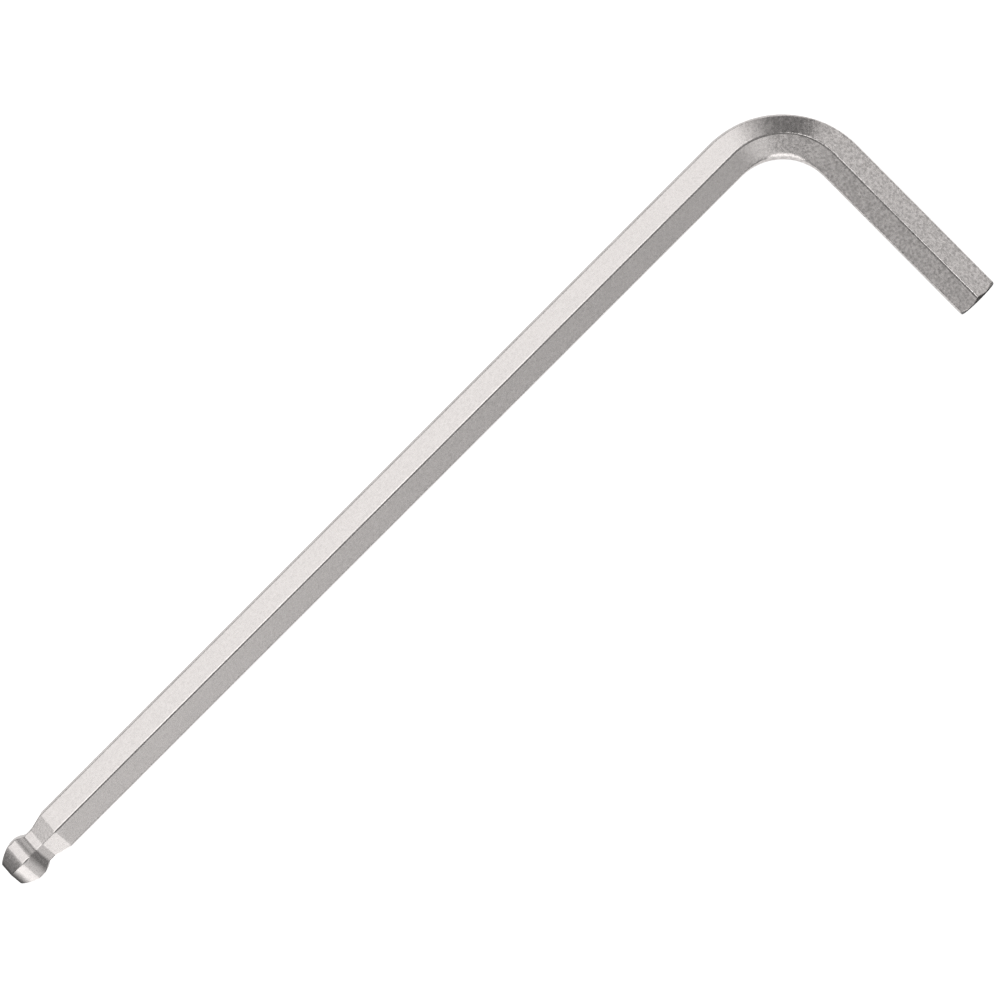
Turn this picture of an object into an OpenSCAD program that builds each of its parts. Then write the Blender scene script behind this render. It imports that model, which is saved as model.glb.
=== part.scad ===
// Hex key with a ball end, bent from one length of hexagonal bar.
// The key lies flat: the long arm runs along X with the ball end at -X, and the short arm points to -Y.
// The crest of the ball touches the plane z = 0, and the bottom corner lines of the arms lie just above it.
// The origin is on that plane, midway along the long arm and midway along the short arm.

/* [Bar] */
// Distance across the flats of the bar
across_flats = 4.95; // [4:0.01:6]
// Depth taken off each sharp corner of the bar
corner_break = 0.06; // [0.02:0.01:0.2]

/* [Arms] */
// Long arm, from the tip of the ball end to the back of the short arm
long_arm = 123; // [80:1:180]
// Short arm, from its end face to the back of the long arm
short_arm = 33; // [24:1:60]
// Bevel at the end face of the short arm, measured at the corners of the bar
end_bevel = 0.38; // [0.1:0.02:0.8]

/* [Bend] */
// Radius of the bend along the top and bottom corner lines
ridge_radius = 7.9; // [6.5:0.1:11]
// Radius of the bend along the middle of the side flats, which the bending pulls inwards
side_radius = 9; // [6.5:0.1:12]

/* [Ball end] */
// Distance across the flats at the crest of the ball
ball_crest = 5.07; // [4.7:0.01:6]
// Distance across the flats of the neck behind the ball
neck_flats = 3.9; // [3.2:0.02:4.5]
// Distance across the flats of the flat tip
tip_flats = 2.96; // [2:0.02:3.8]
// Length and depth of the bevel round the flat tip
tip_bevel = 0.14; // [0.05:0.01:0.3]
// Length of the nose, from the tip to the crest band
nose_length = 1.97; // [1.5:0.01:2.6]
// Radius of the nose, seen from the side
nose_radius = 5.2; // [3:0.1:12]
// Length of the crest band
crest_length = 0.95; // [0.5:0.01:1.6]
// Radius of the crest band, seen from the side
crest_radius = 3.2; // [2:0.1:12]
// Length of the ball's back, from the crest band to the neck
back_length = 1; // [0.8:0.01:1.4]
// Radius of the ball's back, seen from the side
back_radius = 2.3; // [1.2:0.1:8]
// Radius of the fillet between the ball's back and the neck
neck_fillet = 0.25; // [0.1:0.05:0.5]
// Length of the neck
neck_length = 1.03; // [0.6:0.01:3]
// Length of the taper from the neck to the full bar
taper_length = 2.07; // [1:0.01:5]

/* [Hidden] */
$fn = 96;

// The bar's section: half of its flats, its broken corners and its sharp corners
half_flats = across_flats / 2;
sharp_corner = half_flats / cos(30);
corner_radius = sharp_corner - corner_break;
// How far the sloped flats are drawn beside the corner line: past the sides wherever the bend shifts them
slope_reach = 1.2 * half_flats + abs(side_radius - ridge_radius) / 2;

// Half widths of the ball end and stations along it, counted from the tip
half_crest = ball_crest / 2;
crest_corner = half_crest / cos(30) - corner_break;
crest_edge = half_crest - crest_radius + sqrt(pow(crest_radius, 2) - pow(crest_length / 2, 2));
half_neck = neck_flats / 2;
half_tip = tip_flats / 2;
crest_front = nose_length;
crest_back = crest_front + crest_length;
neck_front = crest_back + back_length;
neck_back = neck_front + neck_length;
bar_start = neck_back + taper_length;
// Full bar that the ball end's own piece includes
ball_piece = bar_start + across_flats;

// Places in the key's frame
tip_x = -long_arm / 2;
end_y = -short_arm / 2;
elbow_x = long_arm / 2 - half_flats;
elbow_y = short_arm / 2 - half_flats;
axis_z = max(corner_radius, crest_corner);

// Larger than the bar in every direction, for tools that only limit it
clear = 2 * across_flats;

// Centre of the arc of radius r that bulges outwards from (x1, w1) to (x2, w2)
function arc_centre(x1, w1, x2, w2, r) =
    let (chord = norm([x2 - x1, w2 - w1]))
    let (rise = sqrt(pow(r, 2) - pow(chord / 2, 2)) / chord)
    [(x1 + x2) / 2 + rise * (w2 - w1), (w1 + w2) / 2 - rise * (x2 - x1)];

// What is cut away beside a straight stretch of the ball's outline
module straight_cut(x1, w1, x2, w2) {
    polygon([[x1, w1], [x2, w2], [x2, clear], [x1, clear]]);
}

// What is cut away beside a stretch of the ball's outline that bulges along an arc
module round_cut(x1, w1, x2, w2, r) {
    difference() {
        translate([x1, 0])
            square([x2 - x1, clear]);
        translate(arc_centre(x1, w1, x2, w2, r))
            circle(r = r);
    }
}

// Fillet that fills the corner between the ball's back and the neck
module neck_corner() {
    back = arc_centre(crest_back, crest_edge, neck_front, half_neck, back_radius);
    fillet_w = half_neck + neck_fillet;
    reach = back_radius + neck_fillet;
    fillet_x = back[0] + sqrt(pow(reach, 2) - pow(fillet_w - back[1], 2));
    fillet = [fillet_x, fillet_w];
    inside = back + (fillet - back) * (back_radius - 2 * neck_fillet) / reach;
    difference() {
        polygon([inside, fillet, [fillet_x, 0]]);
        translate(fillet)
            circle(r = neck_fillet);
    }
}

// Outline of the ball end on one side of its axis, from the tip to the full bar
module ball_outline() {
    difference() {
        square([ball_piece, clear]);
        straight_cut(0, half_tip, tip_bevel, half_tip + tip_bevel);
        round_cut(tip_bevel, half_tip + tip_bevel, crest_front, crest_edge, nose_radius);
        round_cut(crest_front, crest_edge, crest_back, crest_edge, crest_radius);
        difference() {
            round_cut(crest_back, crest_edge, neck_front, half_neck, back_radius);
            neck_corner();
        }
        difference() {
            straight_cut(neck_front, half_neck, neck_back, half_neck);
            neck_corner();
        }
        straight_cut(neck_back, half_neck, bar_start, half_flats);
        straight_cut(bar_start, half_flats, ball_piece, half_flats);
    }
}

// Round bar that limits the corners: wider under the ball, and the bar's own behind the neck
module corner_limit() {
    change = (neck_front + neck_back) / 2;
    rotate([0, 90, 0])
        rotate([0, 0, 30])
            rotate_extrude()
                polygon([[0, -clear], [crest_corner, -clear], [crest_corner, change],
                    [corner_radius, change], [corner_radius, ball_piece + clear], [0, ball_piece + clear]]);
}

// One sixth of the ball end, with its flat facing +Y: the outline cut between two corner lines
module ball_sector() {
    intersection() {
        linear_extrude(height = 2 * clear, center = true)
            ball_outline();
        rotate([90, 0, 90])
            linear_extrude(height = ball_piece)
                polygon([[0, 0], [clear, -clear * tan(30)], [clear, clear * tan(30)]]);
    }
}

// Ball end: six equal flats that follow one outline, so the corner lines run on to the tip
module ball_end() {
    translate([tip_x, elbow_y, axis_z])
        intersection() {
            for (turn = [0:60:300])
                rotate([turn, 0, 0])
                    ball_sector();
            corner_limit();
        }
}

// Half section that the sides and the broken corners of the bar follow
module side_section() {
    intersection() {
        square([across_flats, 2 * clear], center = true);
        circle(r = corner_radius);
    }
}

// Section of the four sloped flats, which meet at the top and bottom corner lines
module slope_section() {
    edge = sharp_corner - slope_reach * tan(30);
    polygon([[0, sharp_corner], [slope_reach, edge], [slope_reach, -edge],
        [0, -sharp_corner], [-slope_reach, -edge], [-slope_reach, edge]]);
}

// Sweeps a section from the ball end round the bend to the end of the short arm
module sweep(radius) {
    straight = elbow_x - radius - tip_x - ball_piece;
    translate([tip_x + ball_piece, elbow_y, axis_z])
        rotate([90, 0, 90])
            linear_extrude(height = straight)
                children();
    translate([elbow_x - radius, elbow_y - radius, axis_z])
        rotate_extrude(angle = 90)
            translate([radius, 0])
                children();
    translate([elbow_x, elbow_y - radius, axis_z])
        rotate([90, 0, 0])
            linear_extrude(height = elbow_y - radius - end_y)
                children();
}

// Ring that bevels the end of the short arm
module end_ring() {
    translate([elbow_x, end_y, axis_z])
        rotate([-90, 0, 0])
            rotate_extrude()
                polygon([[corner_radius - end_bevel, 0], [clear, 0],
                    [clear, clear - corner_radius + end_bevel]]);
}

module hex_key() {
    color([0.72, 0.71, 0.7])
        union() {
            ball_end();
            difference() {
                intersection() {
                    sweep(side_radius) side_section();
                    sweep(ridge_radius) slope_section();
                }
                end_ring();
            }
        }
}

hex_key();
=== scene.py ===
# Ball-end hex key in satin plating, lying flat on a pale studio floor.
import math

import bmesh
import bpy
from mathutils import Matrix, Vector


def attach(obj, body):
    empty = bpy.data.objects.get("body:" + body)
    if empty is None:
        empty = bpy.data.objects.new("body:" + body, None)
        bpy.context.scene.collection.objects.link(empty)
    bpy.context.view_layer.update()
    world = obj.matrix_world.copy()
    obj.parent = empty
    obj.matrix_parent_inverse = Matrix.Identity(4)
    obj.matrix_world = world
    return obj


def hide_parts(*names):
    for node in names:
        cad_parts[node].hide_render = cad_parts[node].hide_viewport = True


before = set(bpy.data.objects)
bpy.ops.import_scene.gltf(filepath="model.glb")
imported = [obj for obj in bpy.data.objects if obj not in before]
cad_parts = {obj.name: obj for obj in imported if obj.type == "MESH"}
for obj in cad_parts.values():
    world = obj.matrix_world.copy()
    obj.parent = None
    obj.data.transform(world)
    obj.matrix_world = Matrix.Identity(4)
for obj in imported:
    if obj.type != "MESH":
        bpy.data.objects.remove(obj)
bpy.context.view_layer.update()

# The key's sizes are in millimetres, and its mesh is in metres
MM = 0.001

# Bar: distance across its flats, and depth taken off its sharp corners
ACROSS_FLATS = 4.95
CORNER_DEPTH = 0.06
# Least depth taken off the corners where the ball end is narrower than its crest
LEAST_CORNER_DEPTH = 0.012

# Arms, each measured to the back of the other, and the bevel at the end of the short one
LONG_ARM = 123.0
SHORT_ARM = 33.0
END_BEVEL = 0.38

# Bend: radius of the top and bottom corner lines, and of the middles of the side flats
RIDGE_RADIUS = 7.9
SIDE_RADIUS = 9.0
# Radius that rounds the two inside corners, halfway round the bend
INNER_ROUND = 1.3

# Ball end, in order from the tip: distances across flats, lengths, and radii seen from the side
TIP_FLATS = 2.96
TIP_BEVEL = 0.14
NOSE_LENGTH = 1.97
NOSE_RADIUS = 5.2
BALL_CREST = 5.07
CREST_LENGTH = 0.95
CREST_RADIUS = 3.2
BACK_LENGTH = 1.0
BACK_RADIUS = 2.3
NECK_FILLET = 0.25
NECK_FLATS = 3.9
NECK_LENGTH = 1.03
TAPER_LENGTH = 2.07

# Mesh across the bar: steps over a broken corner and over a flat
SIDES = 6
CORNER_STEPS = 6
FLAT_STEPS = 6
# Distances of the far and the near point of a flat from the edge of the break
FAR_SUPPORT = 0.09
NEAR_SUPPORT = 0.045
# How far the points beside a break's edges dip below its crest, where it is twice as wide as the far distance
CROWN = 0.01
# The two corners on the inside of the bend, counted from the top over the outer side
INNER_CORNERS = (4, 5)

# Mesh along the bar: distance between rings on the ball end and the arms, and steps round the bend
BALL_STEP = 0.06
ARM_STEP = 0.5
BEND_STEPS = 120
# Distance of the close rings on each side of an edge that runs round the ball end
CREASE = 0.015
# How far the ball end's mesh stays inside the solid
SKIN_GAP = 0.001
# Rings over the bevel of the short arm, and the reach over which its edges are softened
END_STEPS = 28
END_SOFTENING = 0.03
# Rings on the two end faces, as shares of their radius
TIP_SHARES = (0.3, 0.6, 0.8, 0.92, 0.985)
FACE_SHARES = (0.985, 0.95, 0.85, 0.6, 0.3)

# Darkening of the ends: painted shade fading along the nose, a line of painted shade at the short end, and a
# darker share on the end faces
TIP_PAINTED_SHADE = 0.9
END_SHADE_LINE = 0.13
FACE_CUT = 0.7
# Share of the edge wear on each point over a corner
EDGE_SHARES = (0.0, 0.5, 1.0, 1.0, 1.0, 0.5, 0.0)

# Plating: its two tones, and the scale of the noise that mixes them, for places in metres
PALE_PLATING = (0.785, 0.745, 0.73, 1)
DEEP_PLATING = (0.745, 0.71, 0.695, 1)
TONE_SCALE = 260.0
TONE_DETAIL = 3.0
# Blasted grain, and how its noise shades the colour and changes the roughness
GRAIN_SCALE = 3000.0
GRAIN_DETAIL = 2.5
GRAIN_ROUGHNESS = 0.6
GRAIN_HEIGHT = 0.00002
PIT_NOISE = (0.3, 0.7)
PIT_SHADES = (0.62, 1.3)
ROUGHNESS = (0.2, 0.34)
# Strength of the grain, which rises round the bend: its places are values of x - y in metres
ROUND_BEND = Vector((1, -1, 0))
BLAST_PLACES = (0.037, 0.052)
BLAST_STRENGTHS = (0.3, 1.0)
# A point of full darkening, which is painted shade on the bevels and nose tip, keeps this share of the colour
CUT_SHADE = 0.12
# Wear along the edges: the tones where it shows, and how much it brightens and smooths
WEAR_NOISE = (0.4, 0.6)
WEAR_SHINE = 0.15
WEAR_SMOOTHING = 0.08
# The whole range of a share or of a noise
WHOLE = (0.0, 1.0)

# Studio, in metres: the lamps' distance from the origin, and how far the floor reaches from it
LAMP_DISTANCE = 0.9
WORLD_GREY = (0.16, 0.16, 0.16, 1)
FLOOR_REACH = 3.0
FLOOR_GREY = (0.85, 0.85, 0.85, 1)
FLOOR_ROUGHNESS = 0.9
WHITE = (1, 1, 1, 1)
# How much the floor is lifted towards white, as the camera sees it and as the metal reflects it
CAMERA_LIFT = 0.8
GLOSSY_LIFT = 0.3

# Camera, in metres: where it stands, what it looks at, what is up, and its lens in millimetres
CAMERA_PLACE = Vector((0.0362, 0.0408, 0.693))
CAMERA_AIM = Vector((0.00606, 0.00508, 0.00287))
CAMERA_UP = Vector((1, 1, 0))
CAMERA_LENS = 225.4
CAMERA_SENSOR = 36.0
CAMERA_NEAR = 0.01

# Values worked out from the sizes
COS30 = math.cos(math.radians(30))
TAN30 = math.tan(math.radians(30))
HALF_FLATS = ACROSS_FLATS / 2
SHARP_CORNER = HALF_FLATS / COS30
CORNER_RADIUS = SHARP_CORNER - CORNER_DEPTH
# Half width of a flat between its two broken corners
FLAT_END = math.sqrt(CORNER_RADIUS ** 2 - HALF_FLATS ** 2)
# How far out from the axis the sloped flats end, and where their points start to follow the sides
SLOPE_END = HALF_FLATS / 2 + FLAT_END * COS30
SHIFT_START = (SHARP_CORNER - FLAT_END) / 2
HALF_TIP = TIP_FLATS / 2
HALF_NECK = NECK_FLATS / 2
HALF_CREST = BALL_CREST / 2
CREST_CORNER = HALF_CREST / COS30 - CORNER_DEPTH
CREST_EDGE = HALF_CREST - CREST_RADIUS + math.sqrt(CREST_RADIUS ** 2 - (CREST_LENGTH / 2) ** 2)
CREST_BACK = NOSE_LENGTH + CREST_LENGTH
NECK_FRONT = CREST_BACK + BACK_LENGTH
NECK_BACK = NECK_FRONT + NECK_LENGTH
BAR_START = NECK_BACK + TAPER_LENGTH
# Radius of the short arm's end face at the corners, and the stretch that its bevel's rings take up
FACE_RADIUS = CORNER_RADIUS - END_BEVEL
END_LENGTH = 2 * END_BEVEL
TIP_X = -LONG_ARM / 2
END_Y = -SHORT_ARM / 2
ELBOW = Vector((LONG_ARM / 2 - HALF_FLATS, SHORT_ARM / 2 - HALF_FLATS))
AXIS_Z = CREST_CORNER


def arc_width(x, start, end, radius):
    """Half width at x on the arc that bulges outwards from start to end, two points of the outline."""
    along = end - start
    rise = math.sqrt(radius ** 2 - (along.length / 2) ** 2) / along.length
    centre = (start + end) / 2 + Vector((along.y, -along.x)) * rise
    return centre.y + math.sqrt(max(radius ** 2 - (x - centre.x) ** 2, 0))


def corner_fill(a, b, reach):
    """How far the corner between two crossing lines is filled, where they are a and b high."""
    overlap = max(reach - abs(a - b), 0) / reach
    return overlap ** 2 * reach / 4


def ball_width(x):
    """Half of the distance across the flats, at a distance x from the tip."""
    nose = Vector((TIP_BEVEL, HALF_TIP + TIP_BEVEL))
    crest_start = Vector((NOSE_LENGTH, CREST_EDGE))
    crest_end = Vector((CREST_BACK, CREST_EDGE))
    back_end = Vector((NECK_FRONT, HALF_NECK))
    if x <= TIP_BEVEL:
        return HALF_TIP + x
    if x <= NOSE_LENGTH:
        return arc_width(x, nose, crest_start, NOSE_RADIUS)
    if x <= CREST_BACK:
        return arc_width(x, crest_start, crest_end, CREST_RADIUS)
    if x < NECK_FRONT + NECK_FILLET:
        back = arc_width(x, crest_end, back_end, BACK_RADIUS)
        return max(back, HALF_NECK) + corner_fill(back, HALF_NECK, NECK_FILLET)
    if x <= NECK_BACK:
        return HALF_NECK
    if x <= BAR_START:
        return HALF_NECK + (HALF_FLATS - HALF_NECK) * (x - NECK_BACK) / TAPER_LENGTH
    return HALF_FLATS


def corner_limit(x):
    """Largest distance of a corner from the axis, at a distance x from the tip."""
    return CREST_CORNER if x < (NECK_FRONT + NECK_BACK) / 2 else CORNER_RADIUS


def stations(edges, step):
    """Places along a line that has edges: evenly spread between them, with a close pair at each edge."""
    places = []
    for start, end in zip(edges, edges[1:]):
        count = max(round((end - start) / step), 1)
        places += [start + CREASE + (end - start - 2 * CREASE) * i / count for i in range(count + 1)]
    return [edges[0]] + places + [edges[-1]]


def corner_points(half_flats, limit, middle):
    """Points over one broken corner: two on the flat before it, three on the break, two on the flat after."""
    radius = min(limit, half_flats / COS30 - LEAST_CORNER_DEPTH)
    half_angle = math.radians(30) - math.acos(half_flats / radius)
    half_width = radius * math.sin(half_angle)
    centre = Vector((math.cos(middle), math.sin(middle)))
    aside = Vector((-centre.y, centre.x))
    dip = CROWN * half_width / FAR_SUPPORT
    halves = []
    for side in (1, -1):
        edge = centre * radius * math.cos(half_angle) + aside * side * half_width
        flat = aside * side * COS30 - centre / 2
        inner = edge - aside * side * min(NEAR_SUPPORT, half_width / 2) - centre * dip
        halves.append([edge + flat * FAR_SUPPORT, edge + flat * NEAR_SUPPORT, inner])
    crest = centre * radius * math.cos(half_angle)
    before, after = halves
    return before + [crest] + after[::-1]


def rounded(points, half_flats, middle, share):
    """Points over a corner, moved by a share towards a fillet between its two flats."""
    centre = (half_flats - INNER_ROUND) / COS30
    moved = []
    for i, point in enumerate(points):
        turn = middle + math.radians(30 - 60 * i / CORNER_STEPS)
        fillet = Vector((centre * math.cos(middle) + INNER_ROUND * math.cos(turn),
                         centre * math.sin(middle) + INNER_ROUND * math.sin(turn)))
        moved.append(point.lerp(fillet, share))
    return moved


def section(half_flats, limit, inner_share=0.0):
    """Points round the bar's section as (outwards, up), from the top corner over the outer side."""
    corners = []
    for corner in range(SIDES):
        middle = math.radians(90 - 60 * corner)
        points = corner_points(half_flats, limit, middle)
        if corner in INNER_CORNERS:
            points = rounded(points, half_flats, middle, inner_share)
        corners.append(points)
    ring = []
    for points, following in zip(corners, corners[1:] + corners[:1]):
        ring += points
        ring += [points[-1].lerp(following[0], i / FLAT_STEPS) for i in range(1, FLAT_STEPS)]
    return ring


def outwards(turn):
    """Direction from the inside of the bend to its outside, in the plan."""
    angle = math.radians(turn)
    return Vector((math.sin(angle), math.cos(angle)))


def path(radius, turn):
    """Point on the bend's line of a radius, at a turn from 0 to 90 degrees, in the plan."""
    centre = ELBOW - Vector((radius, radius))
    return centre + radius * outwards(turn)


def ridge_offset(place):
    """How far a place in the plan lies outside the line that the top corner follows."""
    centre = ELBOW - Vector((RIDGE_RADIUS, RIDGE_RADIUS))
    if place.x < centre.x:
        return place.y - ELBOW.y
    if place.y < centre.y:
        return place.x - ELBOW.x
    return (place - centre).length - RIDGE_RADIUS


def bar_ring(ridge, side, turn):
    """Ring round the plain bar, from the places of its top corner and of its sides in the plan."""
    out = outwards(turn)
    inner_share = math.sin(math.radians(2 * turn)) ** 2
    ring = []
    for point in section(HALF_FLATS, CORNER_RADIUS, inner_share):
        share = min(max((abs(point.x) - SHIFT_START) / (SLOPE_END - SHIFT_START), 0), 1)
        place = ridge.lerp(side, share) + out * point.x
        if abs(point.y) > FLAT_END:
            # The height of the sloped flats follows from the distance to the corner line
            drop = (abs(ridge_offset(place)) - abs(point.x)) * TAN30
            height = point.y - drop * math.copysign(1, point.y)
        else:
            # The side flats are as high as the sloped flats leave them
            edge = side + out * math.copysign(HALF_FLATS, point.x)
            drop = (abs(ridge_offset(edge)) - HALF_FLATS) * TAN30
            height = point.y * (1 - drop / FLAT_END)
        ring.append(Vector((place.x, place.y, AXIS_Z + height)))
    return ring


def ball_rings():
    """Rings from the flat tip to the start of the plain bar."""
    edges = [0, TIP_BEVEL, NOSE_LENGTH, CREST_BACK, NECK_FRONT, NECK_BACK, BAR_START]
    tip = section(HALF_TIP, CREST_CORNER)
    rings = []
    for share in TIP_SHARES:
        rings.append([(TIP_X, ELBOW.y + p.x * share, AXIS_Z + p.y * share) for p in tip])
    for x in stations(edges, BALL_STEP):
        points = section(ball_width(x) - SKIN_GAP, corner_limit(x))
        rings.append([(TIP_X + x, ELBOW.y + p.x, AXIS_Z + p.y) for p in points])
    return rings


def arm_rings():
    """Rings along the long arm, round the bend and along the short arm up to its bevel's rings."""
    start = Vector((TIP_X + BAR_START, ELBOW.y))
    end = Vector((ELBOW.x, END_Y + END_LENGTH))
    ridge_in, ridge_out = path(RIDGE_RADIUS, 0), path(RIDGE_RADIUS, 90)
    side_in, side_out = path(SIDE_RADIUS, 0), path(SIDE_RADIUS, 90)
    rings = []
    steps = round((side_in.x - start.x) / ARM_STEP)
    for i in range(1, steps):
        rings.append(bar_ring(start.lerp(ridge_in, i / steps), start.lerp(side_in, i / steps), 0))
    for i in range(BEND_STEPS + 1):
        turn = 90 * i / BEND_STEPS
        rings.append(bar_ring(path(RIDGE_RADIUS, turn), path(SIDE_RADIUS, turn), turn))
    steps = round((side_out.y - end.y) / ARM_STEP)
    for i in range(1, steps + 1):
        rings.append(bar_ring(ridge_out.lerp(end, i / steps), side_out.lerp(end, i / steps), 90))
    return rings


def end_ring(points, widths, distance):
    """Ring at a distance from the short arm's end face, with the section's points moved to other widths."""
    ring = []
    for p, width in zip(points, widths):
        ring.append((ELBOW.x + p.x * width / p.length, END_Y + distance, AXIS_Z + p.y * width / p.length))
    return ring


def end_rings():
    """Rings over the bevel of the short arm and over its end face."""
    points = section(HALF_FLATS, CORNER_RADIUS)
    rings = []
    for i in range(1, END_STEPS + 1):
        distance = END_LENGTH * (1 - i / END_STEPS)
        limit = FACE_RADIUS + distance
        widths = [min(p.length, limit) - corner_fill(p.length, limit, END_SOFTENING) for p in points]
        rings.append(end_ring(points, widths, distance))
    for share in FACE_SHARES:
        rings.append(end_ring(points, [FACE_RADIUS * share] * len(points), 0))
    return rings


def cut_share(point):
    """How dark a point is: painted shade in full on the two bevels and fading along the nose, and less on the
    end faces.
    """
    behind = point.x - TIP_X
    if behind < CREASE:
        return FACE_CUT
    # Painted shade: full on the tip bevel, fading along the nose
    if behind < NOSE_LENGTH:
        return max(1 - max(behind - TIP_BEVEL, 0) / TIP_PAINTED_SHADE, 0)
    inside = point.y - END_Y
    radius = math.hypot(point.x - ELBOW.x, point.z - AXIS_Z)
    if inside > END_LENGTH:
        return 0.0
    if inside < CREASE and radius < FACE_RADIUS - CREASE:
        return FACE_CUT
    # Painted shade on the short arm's bevel and in a line at its end
    on_bevel = radius > FACE_RADIUS + inside - CREASE
    return 1.0 if on_bevel or inside < END_SHADE_LINE else 0.0


def skin(name, rings, first, last):
    """Closed mesh through rings of equal length, with its two ends closed on the points first and last."""
    bm = bmesh.new()
    rows = [[bm.verts.new(Vector(p) * MM) for p in ring] for ring in rings]
    count = len(rows[0])
    for row, following in zip(rows, rows[1:]):
        for i in range(count):
            j = (i + 1) % count
            bm.faces.new((row[i], row[j], following[j], following[i]))
    for row, middle in ((rows[0], first), (rows[-1], last)):
        centre = bm.verts.new(Vector(middle) * MM)
        for i in range(count):
            bm.faces.new((row[i], row[(i + 1) % count], centre))
    bmesh.ops.recalc_face_normals(bm, faces=bm.faces)
    for face in bm.faces:
        face.smooth = True
    mesh = bpy.data.meshes.new(name)
    bm.to_mesh(mesh)
    bm.free()
    mark(mesh, len(rings) * count)
    piece = bpy.data.objects.new(name, mesh)
    bpy.context.scene.collection.objects.link(piece)
    return piece


def mark(mesh, ring_points):
    """Gives each point of the key its share of darkening (painted shade on the bevels and nose, a darker
    share on the end faces) and of edge wear; the rings' points come first.
    """
    cut = mesh.attributes.new("cut", "FLOAT", "POINT")
    edge = mesh.attributes.new("edge", "FLOAT", "POINT")
    for vertex in mesh.vertices:
        cut.data[vertex.index].value = cut_share(vertex.co / MM)
        step = vertex.index % (CORNER_STEPS + FLAT_STEPS)
        on_corner = step < len(EDGE_SHARES) and vertex.index < ring_points
        edge.data[vertex.index].value = EDGE_SHARES[step] if on_corner else 0.0


def node(tree, kind, inputs=None, **settings):
    """Adds a shader node, sets its properties and its input values or links."""
    made = tree.nodes.new(kind)
    for name, value in settings.items():
        setattr(made, name, value)
    for name, value in (inputs or {}).items():
        if isinstance(value, bpy.types.NodeSocket):
            tree.links.new(value, made.inputs[name])
        else:
            made.inputs[name].default_value = value
    return made


def noise(tree, place, scale, detail, roughness=0.5):
    """Noise of a scale at a place, about 0.5 on average."""
    inputs = {"Vector": place, "Scale": scale, "Detail": detail, "Roughness": roughness}
    return node(tree, "ShaderNodeTexNoise", inputs).outputs["Fac"]


def mapped(tree, value, source, target):
    """A value carried over from one range to another, and kept within it."""
    inputs = {"Value": value, "From Min": source[0], "From Max": source[1],
              "To Min": target[0], "To Max": target[1]}
    return node(tree, "ShaderNodeMapRange", inputs).outputs["Result"]


def mixed(tree, share, a, b, kind):
    """A mix of a and b, which is b where the share is 1."""
    inputs = {"Factor": share, "A": a, "B": b}
    return node(tree, "ShaderNodeMix", inputs, data_type=kind).outputs["Result"]


def product(tree, a, b):
    """The product of two values."""
    return node(tree, "ShaderNodeMath", {0: a, 1: b}, operation="MULTIPLY").outputs["Value"]


def added(tree, a, factor, b):
    """The value b, with a times a factor added to it."""
    return node(tree, "ShaderNodeMath", {0: a, 1: factor, 2: b}, operation="MULTIPLY_ADD").outputs["Value"]


def attribute(tree, name):
    """A value that the mesh holds for each of its points."""
    return node(tree, "ShaderNodeAttribute", attribute_name=name).outputs["Fac"]


def plated_steel():
    """Satin plating over blasted steel, with a stronger grain past the bend, worn edges, and dark ends:
    painted shade on the bevels and along the nose, and darker end faces.
    """
    material = bpy.data.materials.new("plated_steel")
    material.use_nodes = True
    tree = material.node_tree
    shader = tree.nodes["Principled BSDF"]
    shader.inputs["Metallic"].default_value = 1.0
    place = node(tree, "ShaderNodeTexCoord").outputs["Object"]
    round_bend = node(tree, "ShaderNodeVectorMath", {0: place, 1: ROUND_BEND}, operation="DOT_PRODUCT")
    blasted = mapped(tree, round_bend.outputs["Value"], BLAST_PLACES, BLAST_STRENGTHS)
    grain = noise(tree, place, GRAIN_SCALE, GRAIN_DETAIL, GRAIN_ROUGHNESS)
    tone = noise(tree, place, TONE_SCALE, TONE_DETAIL)
    wear = product(tree, attribute(tree, "edge"), mapped(tree, tone, WEAR_NOISE, WHOLE))

    colour = mixed(tree, tone, PALE_PLATING, DEEP_PLATING, "RGBA")
    pits = mixed(tree, blasted, 1.0, mapped(tree, grain, PIT_NOISE, PIT_SHADES), "FLOAT")
    # Painted shade on the bevels and along the nose, and darker end faces, as a share of the colour
    cuts = mapped(tree, attribute(tree, "cut"), WHOLE, (1.0, CUT_SHADE))
    shade = product(tree, product(tree, pits, cuts), added(tree, wear, WEAR_SHINE, 1.0))
    tinted = node(tree, "ShaderNodeVectorMath", {0: colour, "Scale": shade}, operation="SCALE")
    tree.links.new(tinted.outputs["Vector"], shader.inputs["Base Color"])

    rough = added(tree, wear, -WEAR_SMOOTHING, mapped(tree, grain, WHOLE, ROUGHNESS))
    tree.links.new(rough, shader.inputs["Roughness"])
    bump = node(tree, "ShaderNodeBump", {"Height": grain, "Strength": blasted, "Distance": GRAIN_HEIGHT})
    tree.links.new(bump.outputs["Normal"], shader.inputs["Normal"])
    return material


def hex_key():
    """The key as one mesh: ball end, long arm, bend and short arm."""
    tip_middle = (TIP_X, ELBOW.y, AXIS_Z)
    end_middle = (ELBOW.x, END_Y, AXIS_Z)
    key = skin("key", ball_rings() + arm_rings() + end_rings(), tip_middle, end_middle)
    key.data.materials.append(plated_steel())
    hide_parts("hex_key")
    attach(key, "root")


def softbox(name, azimuth, elevation, width, height, radiance):
    """Area lamp of even radiance that faces the key; azimuth 0 is +X and 90 is +Y."""
    lamp = bpy.data.lights.new(name, "AREA")
    lamp.shape = "RECTANGLE"
    lamp.size = width
    lamp.size_y = height
    lamp.energy = radiance * math.pi * width * height
    lamp_object = bpy.data.objects.new(name, lamp)
    a, e = math.radians(azimuth), math.radians(elevation)
    direction = Vector((math.cos(a) * math.cos(e), math.sin(a) * math.cos(e), math.sin(e)))
    lamp_object.location = direction * LAMP_DISTANCE
    lamp_object.rotation_euler = direction.to_track_quat("Z", "Y").to_euler()
    lamp_object.visible_camera = False
    bpy.context.scene.collection.objects.link(lamp_object)


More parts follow.
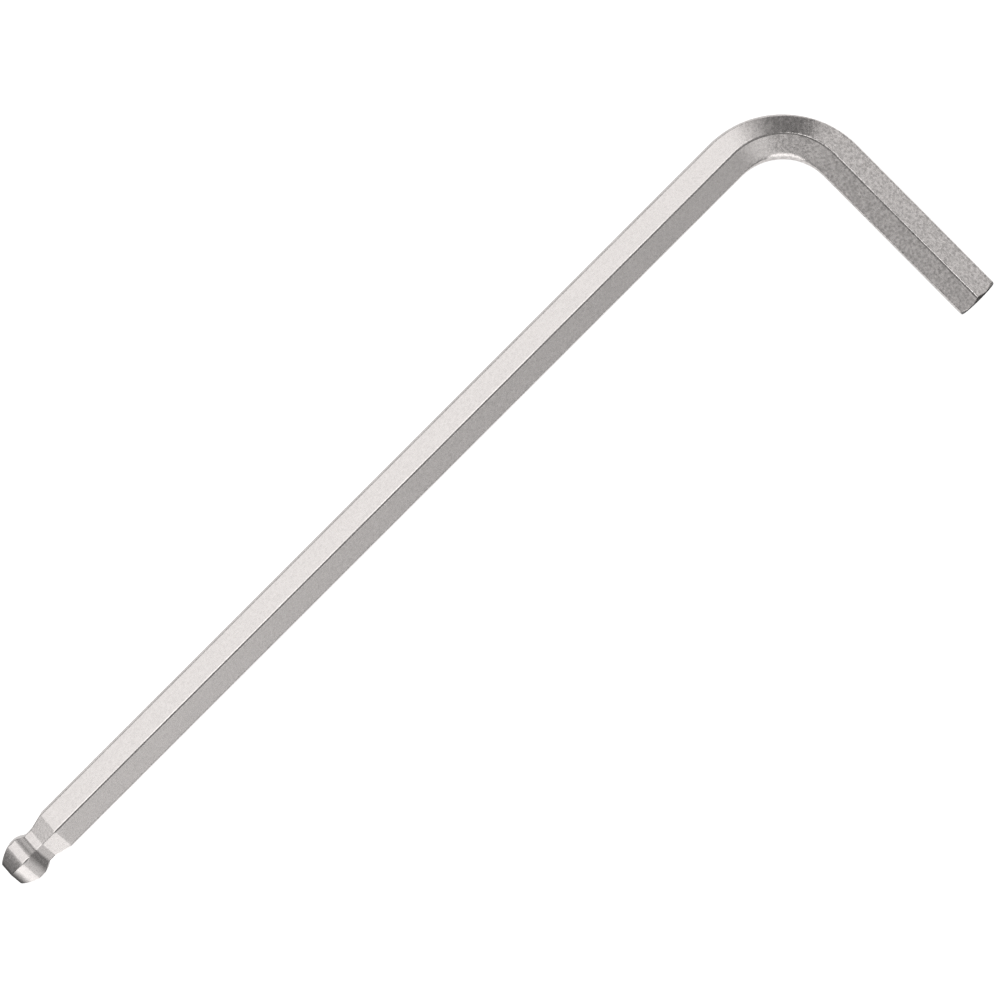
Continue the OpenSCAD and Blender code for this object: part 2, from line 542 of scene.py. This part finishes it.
def studio():
    """Grey world and softboxes, each where one of the key's surfaces reflects it to the camera."""
    world = bpy.data.worlds.new("studio")
    bpy.context.scene.world = world
    world.use_nodes = True
    world.node_tree.nodes["Background"].inputs["Color"].default_value = WORLD_GREY
    # Outer flats of the long arm and the ball end
    softbox("upper_left", azimuth=100, elevation=42, width=0.9, height=0.62, radiance=1.03)
    softbox("left", azimuth=133, elevation=28, width=0.3, height=0.3, radiance=0.42)
    # Thin bright lines beside the top corner lines of the two arms
    softbox("top_left", azimuth=105, elevation=67, width=0.42, height=0.22, radiance=1.4)
    softbox("top_right", azimuth=348, elevation=67, width=0.45, height=0.22, radiance=1.5)
    # Lower flats of the ball end, and the inside of the bend
    softbox("bottom", azimuth=226, elevation=12, width=0.72, height=0.35, radiance=1.25)
    softbox("bottom_fill", azimuth=217, elevation=44, width=0.5, height=0.34, radiance=0.36)
    # Inner flats of the long arm and of the start of the bend
    softbox("lower_right", azimuth=284, elevation=38, width=0.5, height=0.5, radiance=0.36)
    softbox("lower_middle", azimuth=254, elevation=38, width=0.32, height=0.5, radiance=0.66)
    # Flats of the short arm, and the outer flat of the bend
    softbox("upper_right", azimuth=1, elevation=34, width=0.48, height=0.4, radiance=0.67)
    softbox("right_low", azimuth=45, elevation=11, width=0.4, height=0.2, radiance=0.6)
    softbox("lower_left", azimuth=184, elevation=38, width=0.5, height=0.5, radiance=0.32)
    softbox("apex", azimuth=62, elevation=34, width=0.2, height=0.4, radiance=0.4)


def floor():
    """Pale floor, lifted so that the camera sees it as white."""
    mesh = bpy.data.meshes.new("floor")
    corners = [(-FLOOR_REACH, -FLOOR_REACH, 0), (FLOOR_REACH, -FLOOR_REACH, 0),
               (FLOOR_REACH, FLOOR_REACH, 0), (-FLOOR_REACH, FLOOR_REACH, 0)]
    mesh.from_pydata(corners, [], [(0, 1, 2, 3)])
    surface = bpy.data.objects.new("floor", mesh)
    bpy.context.scene.collection.objects.link(surface)
    material = bpy.data.materials.new("floor")
    material.use_nodes = True
    tree = material.node_tree
    shader = tree.nodes["Principled BSDF"]
    shader.inputs["Base Color"].default_value = FLOOR_GREY
    shader.inputs["Roughness"].default_value = FLOOR_ROUGHNESS
    shader.inputs["Emission Color"].default_value = WHITE
    rays = node(tree, "ShaderNodeLightPath")
    glossy = product(tree, rays.outputs["Is Glossy Ray"], GLOSSY_LIFT)
    lift = added(tree, rays.outputs["Is Camera Ray"], CAMERA_LIFT, glossy)
    tree.links.new(lift, shader.inputs["Emission Strength"])
    surface.data.materials.append(material)


def camera():
    """Camera at the photograph's angle, looking down on the key."""
    lens = bpy.data.cameras.new("camera")
    lens.lens = CAMERA_LENS
    lens.sensor_width = CAMERA_SENSOR
    lens.clip_start = CAMERA_NEAR
    back = (CAMERA_PLACE - CAMERA_AIM).normalized()
    right = CAMERA_UP.cross(back).normalized()
    turned = Matrix((right, back.cross(right), back)).transposed().to_4x4()
    view = bpy.data.objects.new("camera", lens)
    view.matrix_world = Matrix.Translation(CAMERA_PLACE) @ turned
    bpy.context.scene.collection.objects.link(view)
    bpy.context.scene.camera = view


camera()
hex_key()
studio()
floor()
bpy.context.scene.view_settings.view_transform = "Standard"
